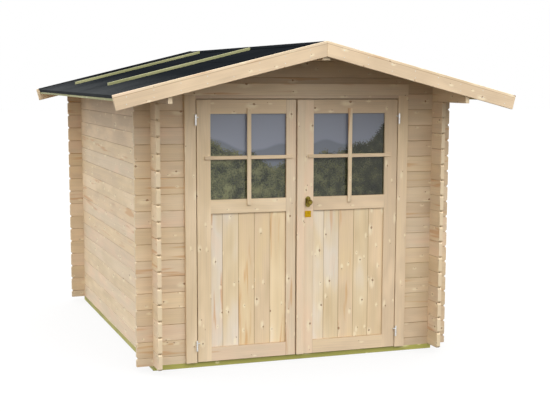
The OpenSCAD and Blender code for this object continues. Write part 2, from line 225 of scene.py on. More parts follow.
def wood_figure(name, tones, pale, streak, knot, ends, share, contrast):
    """A planed board's figure as a node group: the tone of each board with slow patches along it, fine
    grain, growth rings, large and small knots, and resin streaks."""
    tree = bpy.data.node_groups.new(name, "ShaderNodeTree")
    for socket, kind in (("Place", "NodeSocketVector"), ("Section", "NodeSocketVector"),
                         ("Board", "NodeSocketFloat"), ("End", "NodeSocketFloat"),
                         ("Joint", "NodeSocketFloat"), ("Hollow", "NodeSocketFloat"),
                         ("Shade", "NodeSocketFloat")):
        tree.interface.new_socket(socket, in_out="INPUT", socket_type=kind)
    for socket, kind in (("Color", "NodeSocketColor"), ("Height", "NodeSocketFloat")):
        tree.interface.new_socket(socket, in_out="OUTPUT", socket_type=kind)
    given = tree.nodes.new("NodeGroupInput")
    result = tree.nodes.new("NodeGroupOutput")

    # each board starts somewhere else in the figure
    dice = add(tree, "TexWhiteNoise", {"W": given.outputs["Board"]}, noise_dimensions="1D")
    own = add(tree, "VectorMath", {0: dice.outputs["Color"], 1: (37, 23, 11), 2: given.outputs["Place"]},
              operation="MULTIPLY_ADD").outputs[0]
    odds = add(tree, "SeparateColor", {0: dice.outputs["Color"]})

    # large knots of 9 to 17 mm, and two to three times as many small ones of 5 to 9 mm
    away, core, halo, tail = knots(tree, own, (0.36, 0.12), share, 4.5 * MM, 8.5 * MM, 0.0)
    _, pin, glint, _ = knots(tree, own, (0.23, 0.10), share, 2.5 * MM, 4.5 * MM, 7.3)
    pin = add(tree, "Math", {0: pin, 1: 0.8}, operation="MULTIPLY").outputs[0]
    core = add(tree, "Math", {0: core, 1: pin}, operation="MAXIMUM").outputs[0]

    # the grain bends round a large knot
    aside = add(tree, "VectorMath", {0: away, 1: (0, 0.8, 0)}, operation="MULTIPLY").outputs[0]
    aside = add(tree, "VectorMath", {0: aside, "Scale": halo}, operation="SCALE").outputs[0]
    bent = add(tree, "VectorMath", {0: own, 1: aside}, operation="ADD").outputs[0]

    # fine grain, drawn 6 mm wide so that it shows; real growth lines are 2 to 3 mm apart
    fine = add(tree, "VectorMath", {0: bent, 1: (3, 165, 165)}, operation="MULTIPLY").outputs[0]
    fine = add(tree, "TexNoise", {"Vector": fine, "Scale": 1.0, "Detail": 3.0, "Roughness": 0.6}).outputs[0]
    broad = add(tree, "VectorMath", {0: bent, 1: (1.8, 30, 30)}, operation="MULTIPLY").outputs[0]
    broad = add(tree, "TexNoise", {"Vector": broad, "Scale": 1.0, "Detail": 2.0}).outputs[0]
    # growth rings 12 mm apart on the face, drawn out into long flames along the board
    rings = add(tree, "VectorMath", {0: bent, 1: (0.09, 1, 0.4)}, operation="MULTIPLY").outputs[0]
    # their spacing widens and narrows from place to place, as on a sawn face
    spread = add(tree, "VectorMath", {0: bent, 1: (0.5, 9, 4)}, operation="MULTIPLY").outputs[0]
    spread = add(tree, "TexNoise", {"Vector": spread, "Scale": 1.0, "Detail": 1.0}).outputs[0]
    spread = add(tree, "Math", {0: spread, 1: 90 * MM}, operation="MULTIPLY").outputs[0]
    spread = add(tree, "CombineXYZ", {1: spread}).outputs[0]
    rings = add(tree, "VectorMath", {0: rings, 1: spread}, operation="ADD").outputs[0]
    rings = add(tree, "TexWave", {"Vector": rings, "Scale": 26.0, "Distortion": 7.0, "Detail": 2.0,
                                  "Detail Scale": 0.5}, bands_direction="Y").outputs["Fac"]
    late = add(tree, "Math", {0: rings, 1: 3.0}, operation="POWER").outputs[0]

    # tone of the board, with patches of 100 to 400 mm along it
    drift = add(tree, "VectorMath", {0: own, 1: (1.9, 6, 6)}, operation="MULTIPLY").outputs[0]
    drift = add(tree, "TexNoise", {"Vector": drift, "Scale": 1.0, "Detail": 2.0,
                                   "Roughness": 0.6}).outputs[0]
    tone = add(tree, "Math", {0: drift, 1: 1.0, 2: -0.5}, operation="MULTIPLY_ADD").outputs[0]
    tone = add(tree, "Math", {0: dice.outputs["Value"], 1: tone}, operation="ADD").outputs[0]
    tone = add(tree, "Math", {0: tone, 1: 1.0}, operation="PINGPONG").outputs[0]
    ramp = add(tree, "ValToRGB", {0: tone})
    stops = ramp.color_ramp.elements
    stops[0].position, stops[0].color = 0.0, colour(tones[0])
    stops[1].position, stops[1].color = 1.0, colour(tones[-1])
    for i in range(1, len(tones) - 1):
        stops.new(i / (len(tones) - 1)).color = colour(tones[i])

    # shade round 1: each part is its amount times its distance from its own middle
    shade = 1.0
    for part, middle, amount in ((fine, 0.5, 0.10), (broad, 0.5, 0.17), (late, 0.3, -0.035),
                                 (odds.outputs[2], 0.5, 0.09), (drift, 0.5, 0.30)):
        moved = add(tree, "Math", {0: part, 1: middle}, operation="SUBTRACT").outputs[0]
        shade = add(tree, "Math", {0: moved, 1: amount * contrast, 2: shade},
                    operation="MULTIPLY_ADD").outputs[0]
    face = add(tree, "VectorMath", {0: ramp.outputs[0], "Scale": shade}, operation="SCALE").outputs[0]

    # orange heartwood streaks on about a third of the boards, 15 mm wide and 250 mm long
    vein = add(tree, "VectorMath", {0: bent, 1: (2.2, 26, 26), 2: (3, 7, 5)},
               operation="MULTIPLY_ADD").outputs[0]
    vein = add(tree, "TexNoise", {"Vector": vein, "Scale": 1.0, "Detail": 2.0}).outputs[0]
    vein = add(tree, "MapRange", {"Value": vein, "From Min": 0.57, "From Max": 0.70, "To Max": 0.55},
               interpolation_type="SMOOTHSTEP").outputs[0]
    rare = add(tree, "Math", {0: odds.outputs[1], 1: 0.66}, operation="GREATER_THAN").outputs[0]
    vein = add(tree, "Math", {0: vein, 1: rare}, operation="MULTIPLY").outputs[0]

    tail = add(tree, "Math", {0: tail, 1: 0.35}, operation="MULTIPLY").outputs[0]
    halo = add(tree, "Math", {0: halo, 1: glint}, operation="MAXIMUM").outputs[0]
    halo = add(tree, "Math", {0: halo, 1: 0.66}, operation="MULTIPLY").outputs[0]
    core_share = add(tree, "Math", {0: core, 1: 0.74}, operation="MULTIPLY").outputs[0]
    for amount, tint in ((vein, streak), (halo, pale), (tail, knot), (core_share, knot)):
        face = add(tree, "Mix", {0: amount, 6: face, 7: colour(tint)}, data_type="RGBA").outputs[2]

    # end grain: arcs of growth rings round a heart that lies just outside the board
    heart = add(tree, "VectorMath", {0: given.outputs["Section"], 1: (0, 0, 24 * MM)},
                operation="ADD").outputs[0]
    arcs = add(tree, "TexWave", {"Vector": heart, "Scale": 52.0, "Distortion": 0.8, "Detail": 1.0},
               wave_type="RINGS", rings_direction="X").outputs["Fac"]
    arcs = add(tree, "MapRange", {"Value": arcs, "To Min": 1.02, "To Max": 0.86}).outputs[0]
    cut = add(tree, "VectorMath", {0: colour(ends)[:3], "Scale": arcs}, operation="SCALE").outputs[0]
    cut = add(tree, "Mix", {0: 0.45, 6: cut, 7: ramp.outputs[0]}, data_type="RGBA").outputs[2]
    face = add(tree, "Mix", {0: given.outputs["End"], 6: face, 7: cut}, data_type="RGBA").outputs[2]
    # painted shadow: dark brown on the end faces where the hollow over a log's tongue lies
    face = add(tree, "Mix", {0: given.outputs["Hollow"], 6: face, 7: colour("#3C2A1E")},
               data_type="RGBA").outputs[2]

    # the joint between two boards lies in its own shadow, more in some places than in others
    uneven = add(tree, "MapRange", {"Value": broad, "From Min": 0.35, "From Max": 0.65, "To Min": -0.22,
                                    "To Max": -0.55}).outputs[0]
    uneven = add(tree, "Math", {0: given.outputs["Joint"], 1: uneven}, operation="MULTIPLY").outputs[0]
    dim = add(tree, "VectorMath", {0: (0.8, 1.0, 1.15), "Scale": uneven}, operation="SCALE").outputs[0]
    dim = add(tree, "VectorMath", {0: dim, 1: (1, 1, 1)}, operation="ADD").outputs[0]
    face = add(tree, "VectorMath", {0: face, 1: dim}, operation="MULTIPLY").outputs[0]
    face = add(tree, "VectorMath", {0: face, "Scale": given.outputs["Shade"]},
               operation="SCALE").outputs[0]
    height = add(tree, "Math", {0: fine, 1: 0.6, 2: core}, operation="MULTIPLY_ADD").outputs[0]
    tree.links.new(face, result.inputs["Color"])
    tree.links.new(height, result.inputs["Height"])
    return tree


# planed spruce, unpainted: tan, straw and cream boards side by side, some of them a little pinkish
SPRUCE = wood_figure("planed_spruce", ("#DAC1A0", "#E3CAA8", "#E0C8A3", "#E7D0AE", "#E4CFB1", "#E5CAAC"),
                     "#F6E7C6", "#CC965E", "#8F5E34", "#E6D2AE", 0.55, 1.15)
# the same spruce as narrow panel boards, which have more knots
PANELLING = wood_figure("spruce_panelling",
                        ("#DEC59E", "#E6CCA8", "#E3CAA0", "#E8D2AC", "#E6D8C4", "#E8CDB0"),
                        "#F8EACB", "#D09552", "#8F5E34", "#E6D2AE", 0.7, 1.0)
# pressure-treated pine: olive green from the salts, with yellower and greyer patches
TREATED = wood_figure("treated_pine", ("#8E8B46", "#A39F52", "#B8AF6C", "#97964F", "#BEB87C"),
                      "#CFC89A", "#A58F48", "#57522C", "#B4B176", 0.5, 1.6)
# the thin laths on the roof took less of the salts and are paler
TREATED_LATHS = wood_figure("treated_laths", ("#A2A36E", "#B2B17F", "#C0BE8C", "#A5A673", "#C3C197"),
                            "#D8D3B0", "#AE9C66", "#6A6540", "#B9B688", 0.5, 1.3)


def timber(name, finish, order, first=0, tilt=0.0, pitch=0.0, foot=0.0, joint=3.2 * MM, rails=False,
           middle=None, lines=(), shade=1.0):
    """Wood on a piece. order names the axes along, across and through the board, tilt turns them to a
    slope about Y, and pitch and foot say where one board ends and the next begins. A pitch of zero
    reads each board's number from the mesh. first is added to the numbers, and each number is another
    board. joint is half the width of the shadow between two. rails is for a leaf's frame, whose boards
    run up or across; there every upward face, the ledges under the panel and the glass among them, is
    darkened as a joint is, a painted shade. Where middle is given, the end faces show the small dark
    hollow over each log's tongue at that depth as a painted shadow. Each of the lines is an axis and a
    level at which another piece meets this one, in shadow. shade scales the colour: on some pieces it
    is how light the batch of wood is, on others a painted shade or painted light."""
    made, tree = new_material(name)
    output = add(tree, "OutputMaterial")
    where = add(tree, "TexCoord")
    point, normal = where.outputs["Object"], where.outputs["Normal"]
    if tilt:
        point = add(tree, "VectorRotate", {"Vector": point, "Angle": tilt},
                    rotation_type="Y_AXIS").outputs[0]
        normal = add(tree, "VectorRotate", {"Vector": normal, "Angle": tilt},
                     rotation_type="Y_AXIS").outputs[0]
    point = add(tree, "SeparateXYZ", {0: point})
    normal = add(tree, "SeparateXYZ", {0: normal})
    along, across, deep = (point.outputs["XYZ".index(axis)] for axis in order)
    place = add(tree, "CombineXYZ", {0: along, 1: across, 2: deep}).outputs[0]
    end = normal.outputs["XYZ".index(order[0])]
    step = add(tree, "Math", {0: across, 1: foot}, operation="SUBTRACT").outputs[0]
    if pitch:
        number = add(tree, "Math", {0: step, 1: pitch}, operation="DIVIDE").outputs[0]
        number = add(tree, "Math", {0: number}, operation="FLOOR").outputs[0]
        seam = add(tree, "Math", {0: step, 1: pitch / 2}, operation="PINGPONG").outputs[0]
    else:
        number = add(tree, "Attribute", attribute_name="board").outputs["Fac"]
        seam = 1.0
    if rails:
        # stiles run up, rails run across between them
        side = add(tree, "Math", {0: point.outputs[0]}, operation="ABSOLUTE").outputs[0]
        zone = add(tree, "MapRange", {"Value": side, "From Min": PANE_IN, "From Max": PANE_OUT},
                   clamp=False).outputs[0]
        rail = add(tree, "Math", {0: zone, 1: 0.5, 2: 0.5}, operation="COMPARE").outputs[0]
        across_place = add(tree, "CombineXYZ", {0: point.outputs[0], 1: point.outputs[2],
                                                2: deep}).outputs[0]
        place = add(tree, "Mix", {0: rail, 4: place, 5: across_place}, data_type="VECTOR").outputs[1]
        end = add(tree, "Mix", {0: rail, 2: normal.outputs[2], 3: normal.outputs[0]}).outputs[0]
        # a leaf has one rail in each 650 mm of its height
        level = add(tree, "Math", {0: point.outputs[2], 1: 650 * MM}, operation="DIVIDE").outputs[0]
        level = add(tree, "Math", {0: level}, operation="FLOOR").outputs[0]
        stile = add(tree, "Math", {0: zone}, operation="FLOOR").outputs[0]
        number = add(tree, "Mix", {0: rail, 2: stile, 3: level}).outputs[0]
        hand = add(tree, "Math", {0: point.outputs[0], 1: 0.0}, operation="GREATER_THAN").outputs[0]
        number = add(tree, "Math", {0: hand, 1: 7.0, 2: number}, operation="MULTIPLY_ADD").outputs[0]
        seam = add(tree, "Math", {0: side, 1: PANE_IN}, operation="SUBTRACT").outputs[0]
        seam = add(tree, "Math", {0: seam, 1: (PANE_OUT - PANE_IN)}, operation="PINGPONG").outputs[0]
    number = add(tree, "Math", {0: number, 1: first + 0.37}, operation="ADD").outputs[0]
    end = add(tree, "Math", {0: end}, operation="ABSOLUTE").outputs[0]
    end = add(tree, "MapRange", {"Value": end, "From Min": 0.55, "From Max": 0.65}).outputs[0]
    for axis, level in lines:
        off = point.outputs["XYZ".index(axis)]
        off = add(tree, "Math", {0: off, 1: level}, operation="SUBTRACT").outputs[0]
        off = add(tree, "Math", {0: off}, operation="ABSOLUTE").outputs[0]
        if rails:
            stile = add(tree, "Math", {0: 1.0, 1: rail}, operation="SUBTRACT").outputs[0]
            off = add(tree, "Math", {0: off, 1: stile}, operation="ADD").outputs[0]
        seam = add(tree, "Math", {0: off, 1: seam}, operation="MINIMUM").outputs[0]
    if rails:
        # painted shade: every upward face of the leaf frame, the ledges under the panel and the glass among
        # them, is darkened as a joint is
        ledge = add(tree, "Math", {0: normal.outputs[2], 1: 0.6}, operation="LESS_THAN").outputs[0]
        seam = add(tree, "Math", {0: seam, 1: ledge}, operation="MULTIPLY").outputs[0]
    hollow = 0.0
    if middle is not None:
        off = add(tree, "Math", {0: deep, 1: middle}, operation="SUBTRACT").outputs[0]
        off = add(tree, "CombineXYZ", {0: off, 1: seam}).outputs[0]
        off = add(tree, "VectorMath", {0: off, 1: (0.7, 1, 0)}, operation="MULTIPLY").outputs[0]
        off = add(tree, "VectorMath", {0: off}, operation="LENGTH").outputs["Value"]
        off = add(tree, "MapRange", {"Value": off, "From Min": 4.2 * MM, "From Max": 2.0 * MM,
                                     "To Max": 0.7}).outputs[0]
        hollow = add(tree, "Math", {0: off, 1: end}, operation="MULTIPLY").outputs[0]
    seam = add(tree, "MapRange", {"Value": seam, "From Min": joint, "From Max": 0.3 * joint}).outputs[0]
    half = pitch or 0.1
    local = add(tree, "Math", {0: step, 1: half}, operation="FLOORED_MODULO").outputs[0]
    local = add(tree, "Math", {0: local, 1: half / 2}, operation="SUBTRACT").outputs[0]
    section = add(tree, "CombineXYZ", {1: local, 2: deep}).outputs[0]
    figure = add(tree, "Group", node_tree=finish)
    for socket, value in (("Place", place), ("Section", section), ("Board", number), ("End", end),
                          ("Joint", seam), ("Hollow", hollow), ("Shade", shade)):
        if isinstance(value, bpy.types.NodeSocket):
            tree.links.new(value, figure.inputs[socket])
        else:
            figure.inputs[socket].default_value = value
    bump = add(tree, "Bump", {"Height": figure.outputs["Height"], "Distance": 0.5 * MM, "Strength": 0.5})
    shader = add(tree, "BsdfPrincipled", {"Base Color": figure.outputs["Color"], "Roughness": 0.62,
                                          "IOR": 1.5, "Normal": bump.outputs[0]})
    tree.links.new(shader.outputs[0], output.inputs[0])
    return made


# ---- wood on the frame's nodes ----

# a piece that is one board: boards a metre wide, set so that no joint falls in it
ONE_BOARD = {"pitch": 1.0, "joint": JUST}

# logs: the front and back walls lie half a course lower than the side walls
low_foot = BASE_Z - PITCH / 2
# painted shade: the front walls, the back wall and most of all the gable under the roof are made darker
for i, (name, order, foot, shade) in enumerate((
        ("front_wall_left", "XZY", low_foot, 0.94), ("front_wall_right", "XZY", low_foot, 0.9),
        ("front_gable_wall", "XZY", low_foot, 0.74), ("back_wall", "XZY", low_foot, 0.96),
        ("left_wall", "YZX", BASE_Z, 1.0), ("right_wall", "YZX", BASE_Z, 1.0),
        ("eave_purlin_left", "YZX", BASE_Z, 1.0), ("eave_purlin_right", "YZX", BASE_Z, 1.0),
        ("ridge_purlin", "YZX", BASE_Z, 0.95))):
    low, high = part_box(name)
    centre = (low + high)["XYZ".index(order[2])] / 2 if "wall" in name else None
    # the gable's boards lie tight
    joint = 1.2 * MM if "gable" in name else 3.2 * MM
    paint(name, timber("spruce_logs_" + name, SPRUCE, order, first=40 * i + 403, pitch=PITCH, foot=foot,
                       joint=joint, middle=centre, shade=shade))

# painted light: the front and back beams, in shade under the walls, are made much lighter
for i, (name, order, shade) in enumerate((
        ("base_beam_front", "XZY", 1.55), ("base_beam_back", "XZY", 1.55), ("base_beam_left", "YZX", 1.0),
        ("base_beam_right", "YZX", 1.0), ("floor_bearers", "YXZ", 1.0))):
    paint(name, timber("treated_pine_" + name, TREATED, order, first=500 + 7 * i, pitch=400 * MM,
                       foot=-4.0, joint=JUST, shade=shade))
    soften(name, 2 * MM)

for i, (name, tilt) in enumerate((
        ("barge_board_front_left", SLOPE), ("barge_board_front_right", -SLOPE),
        ("barge_board_back_left", SLOPE), ("barge_board_back_right", -SLOPE))):
    # the upper lath meets the board under it 17 mm below the top
    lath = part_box(name)[1].z * math.cos(SLOPE) - 17 * MM
    paint(name, timber("spruce_" + name, SPRUCE, "XZY", first=694 + 5 * i, tilt=tilt, pitch=1.0,
                       foot=lath, joint=3 * MM, shade=1.05))
    soften(name, 2.5 * MM)
for name, first in (("eave_strip_left", 640), ("eave_strip_right", 650)):
    paint(name, timber("treated_pine_" + name, TREATED_LATHS, "YZX", first=first, foot=-4.5,
                       shade=0.84, **ONE_BOARD))
for name, tilt, first in (("felt_battens_left", SLOPE, 660), ("felt_battens_right", -SLOPE, 670)):
    paint(name, timber("treated_pine_" + name, TREATED_LATHS, "XYZ", first=first, tilt=tilt,
                       pitch=400 * MM, foot=-4.0, joint=JUST, shade=0.78))
    soften(name, 2 * MM)

paint("door_frame_left", timber("spruce_casing_left", SPRUCE, "ZXY", first=700, foot=-4.0, **ONE_BOARD))
paint("door_frame_right", timber("spruce_casing_right", SPRUCE, "ZXY", first=737, foot=-4.0, **ONE_BOARD))
head_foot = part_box("door_frame_right")[1].z
# painted shade: the head casing is made darker, like the gable over it
paint("door_frame_head", timber("spruce_casing_head", SPRUCE, "XZY", first=811, pitch=84 * MM,
                                foot=head_foot, joint=1.5 * MM, shade=0.93))
paint("door_threshold", timber("spruce_threshold", SPRUCE, "XZY", first=730, foot=-4.0, **ONE_BOARD))
for name in ("left_leaf_frame", "right_leaf_frame"):
    paint(name, timber("spruce_" + name, SPRUCE, "ZXY", first=758, rails=True, joint=1.6 * MM,
                       lines=[("Z", level) for level in PANEL_Z]))
    soften(name, 1.5 * MM)
paint("cover_strip", timber("spruce_cover_strip", SPRUCE, "ZXY", first=760, foot=-4.5, **ONE_BOARD))
soften("cover_strip", 4 * MM, 3)
for name in ("door_frame_left", "door_frame_right", "door_frame_head", "door_threshold"):
    soften(name, 2 * MM)


# ---- roof ----

def sheared(bm, side):
    """Lays what is built level at the peak down onto one slope, its ends kept plumb."""
    fall = Matrix.Identity(4)
    fall[2][0] = -side * math.tan(SLOPE)
    bmesh.ops.transform(bm, matrix=fall, verts=bm.verts)


def span(side, x0, x1):
    """Two distances from the ridge as X coordinates in rising order."""
    return sorted((side * x0, side * x1))


def roofing_felt():
    """Bitumen felt rolled with fine slate: nearly black and rough, with lighter grains, and a painted sheen
    that turns it lighter grey down towards the eaves."""
    made, tree = new_material("slate_bitumen_felt")
    output = add(tree, "OutputMaterial")
    where = add(tree, "TexCoord").outputs["Object"]
    # slate grains of about 1.5 mm, drawn at 3 mm so that they show
    grit = add(tree, "TexNoise", {"Vector": where, "Scale": 330.0, "Detail": 2.0}).outputs[0]
    cloud = add(tree, "TexNoise", {"Vector": where, "Scale": 2.6, "Detail": 4.0}).outputs[0]
    mix = add(tree, "Math", {0: cloud, 1: 0.22, 2: 0.28}, operation="MULTIPLY_ADD").outputs[0]
    mix = add(tree, "Math", {0: grit, 1: 0.6, 2: mix}, operation="MULTIPLY_ADD").outputs[0]
    # painted sheen: lighter grey down towards the eaves
    down = add(tree, "SeparateXYZ", {0: where}).outputs[0]
    down = add(tree, "Math", {0: down}, operation="ABSOLUTE").outputs[0]
    painted_sheen = add(tree, "MapRange", {"Value": down, "From Min": 800 * MM, "From Max": EAVE_X,
                                  "To Max": 0.27}).outputs[0]
    mix = add(tree, "Math", {0: mix, 1: painted_sheen}, operation="ADD").outputs[0]
    ramp = add(tree, "ValToRGB", {0: mix})
    stops = ramp.color_ramp.elements
    stops[0].position, stops[0].color = 0.52, colour("#101316")
    stops[1].position, stops[1].color = 1.0, colour("#3E4041")
    stops.new(0.76).color = colour("#191C1F")
    bump = add(tree, "Bump", {"Height": grit, "Distance": 1 * MM, "Strength": 0.6})
    # the loose slate scatters everything, so the felt has no sheen of its own even at a flat angle; its
    # sheen towards the eaves is painted into its colour
    shader = add(tree, "BsdfPrincipled", {"Base Color": ramp.outputs[0], "Roughness": 1.0, "IOR": 1.45,
                                          "Specular IOR Level": 0.0, "Normal": bump.outputs[0]})
    tree.links.new(shader.outputs[0], output.inputs[0])
    return made


FELT = roofing_felt()

ROOF_BOARD = 88 * MM                   # width of a roof or floor board
SHEET = 3 * MM                         # one sheet of felt
FOLD = 21 * MM                         # its fold over the eave strip
LAP_X, LAP_T = 520 * MM, 2 * MM        # the sheet over the ridge: half its width, and how it stands up
CAP_X, CAP_T = 105 * MM, 8 * MM        # the thick capping on it
SUNK = 1 * MM                          # how far each is let into the sheet under it
BACK_EAVE = 12 * MM                    # behind, the felt goes this far past the eave,
BACK_OUT = 23 * MM                     # this far out over the barge board
BACK_DOWN = 14 * MM                    # and this far down over it
for side, hand in ((-1, "left"), (1, "right")):
    low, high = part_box("roof_deck_" + hand)
    rise = high.z - (low.z + abs(low.x - high.x) * math.tan(SLOPE))
    out = max(abs(low.x), abs(high.x))
    count = round((high.y - low.y) / ROOF_BOARD)
    wide = (high.y - low.y) / count
    bm = bmesh.new()
    x0, x1 = span(side, 0, out)
    for i in range(count):
        block(bm, (x0, low.y + i * wide, high.z - rise), (x1, low.y + (i + 1) * wide, high.z), 2 * MM, i)
    sheared(bm, side)
    boards = timber("spruce_roof_boards_" + hand, SPRUCE, "XYZ", first=900 + 60 * side,
                    tilt=-side * SLOPE)
    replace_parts(piece("roof_boards_" + hand, bm, "shed", boards), "roof_deck_" + hand)

    low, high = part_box("roof_felt_" + hand)
    top = high.z
    foot = low.z + EAVE_X * math.tan(SLOPE)
    gable_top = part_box("barge_board_back_" + hand)[1].z
    bm = bmesh.new()
    x0, x1 = span(side, 0, EAVE_X)
    block(bm, (x0, low.y, foot), (x1, high.y, top), 1 * MM)
    x0, x1 = span(side, 0, LAP_X)
    block(bm, (x0, low.y, top - SUNK), (x1, high.y, top + LAP_T), 0.8 * MM)
    x0, x1 = span(side, 0, CAP_X)
    block(bm, (x0, low.y, top - SUNK), (x1, high.y, top + CAP_T), 3 * MM)
    x0, x1 = span(side, EAVE_X - SUNK, EAVE_X + SHEET)
    block(bm, (x0, low.y, top - FOLD), (x1, high.y, top), 1 * MM)
    # behind, the felt is turned up and dressed over the barge board
    x0, x1 = span(side, 0, EAVE_X + BACK_EAVE)
    over = gable_top + SHEET
    outer = high.y + BACK_OUT
    block(bm, (x0, high.y - SHEET, top - 2 * SUNK), (x1, high.y, over), 1 * MM)
    block(bm, (x0, high.y - SHEET, gable_top + JUST), (x1, outer, over), 1 * MM)
    block(bm, (x0, outer - SHEET + JUST, gable_top - BACK_DOWN), (x1, outer, over), 1 * MM)
    sheared(bm, side)
    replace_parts(piece("felt_sheets_" + hand, bm, "shed", FELT), "roof_felt_" + hand)

# floor: narrow boards across the shed
low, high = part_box("floor_boards")
count = round((high.y - low.y) / ROOF_BOARD)
wide = (high.y - low.y) / count
bm = bmesh.new()
for i in range(count):
    block(bm, (low.x, low.y + i * wide, low.z), (high.x, low.y + (i + 1) * wide, high.z), 2 * MM, i)
planking = timber("spruce_floor_boards", SPRUCE, "XYZ", first=1100)
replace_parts(piece("floor_planks", bm, "shed", planking), "floor_boards")


# ---- metals ----

def metal(name, light, dark, roughness, patch, depth):
    """A metal with cloudy wear: dark in its hollows and lighter where it is handled. patch is the size
    of the clouds and depth that of the bumps."""
    made, tree = new_material(name)
    output = add(tree, "OutputMaterial")
    where = add(tree, "TexCoord").outputs["Object"]
    cloud = add(tree, "TexNoise", {"Vector": where, "Scale": 1 / patch, "Detail": 4.0}).outputs[0]
    ramp = add(tree, "ValToRGB", {0: cloud})
    stops = ramp.color_ramp.elements
    stops[0].position, stops[0].color = 0.35, colour(dark)
    stops[1].position, stops[1].color = 0.65, colour(light)
    bump = add(tree, "Bump", {"Height": cloud, "Distance": depth, "Strength": 0.4})
    shader = add(tree, "BsdfPrincipled", {"Base Color": ramp.outputs[0], "Metallic": 1.0,
                                          "Roughness": roughness, "Normal": bump.outputs[0]})
    tree.links.new(shader.outputs[0], output.inputs[0])
    return made


# zinc-plated steel: bright, faintly spangled
ZINC = metal("zinc_plated_steel", "#F2F2F0", "#D2D3D4", 0.35, 6 * MM, 0.05 * MM)
# browned brass: olive and dark brown, worn lighter in patches
BROWNED = metal("browned_brass", "#9A8A42", "#675822", 0.38, 9 * MM, 0.1 * MM)
# polished brass plate: plain golden
GOLDEN = metal("polished_brass", "#C29A1C", "#A9820F", 0.3, 14 * MM, 0.03 * MM)

for name in ("hinge_posts_left", "hinge_posts_right", "left_leaf_hinges", "right_leaf_hinges"):
    paint(name, ZINC)
paint("knob_plate", BROWNED)
paint("key_plate", GOLDEN)
soften("knob_plate", 1 * MM)
soften("key_plate", 0.6 * MM)


# ---- glass ----

# the tree line painted into the glass as a reflection
TREES_SHIFT = 1370 * MM                # where in the noise the tree line starts
TREES_LOW = 0.45                       # where across the doorway the trees stand lowest, 0 to 1
TREES_RISE = 850 * MM                  # how steeply they rise to both sides of that
TREES_TOP = PANE_MIDDLE - 270 * MM
RIDGE_TOP = PANE_MIDDLE - 80 * MM


def window_glass():
    """Float glass in front of a dark room, a little clear, with a painted reflection in its colour:
    blue-grey sky above, and mottled olive and dark green trees below."""
    made, tree = new_material("float_glass")
    output = add(tree, "OutputMaterial")
    where = add(tree, "TexCoord").outputs["Object"]
    spot = add(tree, "VectorMath", {0: where, 1: (1, 0, 1)}, operation="MULTIPLY").outputs[0]
    level = add(tree, "VectorMath", {0: where, 1: (1, 0, 0), 2: (TREES_SHIFT, 0, 0)},
                operation="MULTIPLY_ADD").outputs[0]
    height = add(tree, "SeparateXYZ", {0: where})
    # painted reflection of leaves: clumps of 70 mm with flecks of 12 mm in them
    clump = add(tree, "TexNoise", {"Vector": spot, "Scale": 14.0, "Detail": 2.0}).outputs[0]
    fleck = add(tree, "TexNoise", {"Vector": spot, "Scale": 80.0, "Detail": 4.0,
                                   "Roughness": 0.75}).outputs[0]
    mix = add(tree, "Math", {0: clump, 1: 0.72}, operation="MULTIPLY").outputs[0]
    mix = add(tree, "Math", {0: fleck, 1: 0.93, 2: mix}, operation="MULTIPLY_ADD").outputs[0]
    leaves = add(tree, "ValToRGB", {0: mix})
    stops = leaves.color_ramp.elements
    stops[0].position, stops[0].color = 0.66, colour("#30342A")
    stops[1].position, stops[1].color = 0.98, colour("#7F7F5B")
    stops.new(0.82).color = colour("#595C43")
    # the painted trees are darker towards the right, and stand higher at both sides than between them
    across = add(tree, "MapRange", {"Value": height.outputs[0], "From Min": -PANE_OUT,
                                    "From Max": PANE_OUT}).outputs[0]
    dark = add(tree, "MapRange", {"Value": across, "To Min": 1.3, "To Max": 0.42}).outputs[0]
    green = add(tree, "VectorMath", {0: leaves.outputs[0], "Scale": dark}, operation="SCALE").outputs[0]
    crown = add(tree, "TexNoise", {"Vector": level, "Scale": 5.5, "Detail": 3.0,
                                   "Roughness": 0.4}).outputs[0]
    line = add(tree, "Math", {0: across, 1: TREES_LOW}, operation="SUBTRACT").outputs[0]
    line = add(tree, "Math", {0: line, 1: line}, operation="MULTIPLY").outputs[0]
    line = add(tree, "Math", {0: line, 1: TREES_RISE, 2: TREES_TOP}, operation="MULTIPLY_ADD").outputs[0]
    line = add(tree, "Math", {0: crown, 1: 260 * MM, 2: line}, operation="MULTIPLY_ADD").outputs[0]
    line = add(tree, "Math", {0: fleck, 1: 200 * MM, 2: line}, operation="MULTIPLY_ADD").outputs[0]
    above = add(tree, "Math", {0: height.outputs[2], 1: line}, operation="SUBTRACT").outputs[0]
    above = add(tree, "MapRange", {"Value": above, "From Min": -10 * MM, "From Max": 10 * MM},
                interpolation_type="SMOOTHSTEP").outputs[0]
    # a faint far ridge crosses the painted sky above the green
    ridge = add(tree, "TexNoise", {"Vector": level, "Scale": 2.3, "Detail": 1.0}).outputs[0]
    ridge = add(tree, "Math", {0: ridge, 1: 320 * MM, 2: RIDGE_TOP}, operation="MULTIPLY_ADD").outputs[0]
    ridge = add(tree, "Math", {0: height.outputs[2], 1: ridge}, operation="SUBTRACT").outputs[0]
    ridge = add(tree, "MapRange", {"Value": ridge, "From Min": -12 * MM, "From Max": 12 * MM},
                interpolation_type="SMOOTHSTEP").outputs[0]
    pale = add(tree, "Mix", {0: ridge, 6: colour("#868C98"), 7: colour("#A0A6B5")},
               data_type="RGBA").outputs[2]
    # the painted sky is darker towards the right
    dull = add(tree, "MapRange", {"Value": across, "To Min": 0.98, "To Max": 0.74}).outputs[0]
    pale = add(tree, "VectorMath", {0: pale, "Scale": dull}, operation="SCALE").outputs[0]
    face = add(tree, "Mix", {0: above, 6: green, 7: pale}, data_type="RGBA").outputs[2]
    shader = add(tree, "BsdfPrincipled", {"Base Color": face, "Roughness": 0.06, "IOR": 1.5,
                                          "Alpha": 0.85})
    tree.links.new(shader.outputs[0], output.inputs[0])
    return made


glass = window_glass()
paint("left_leaf_glass", glass)
paint("right_leaf_glass", glass)


# ---- doors' boards, bars and beads ----

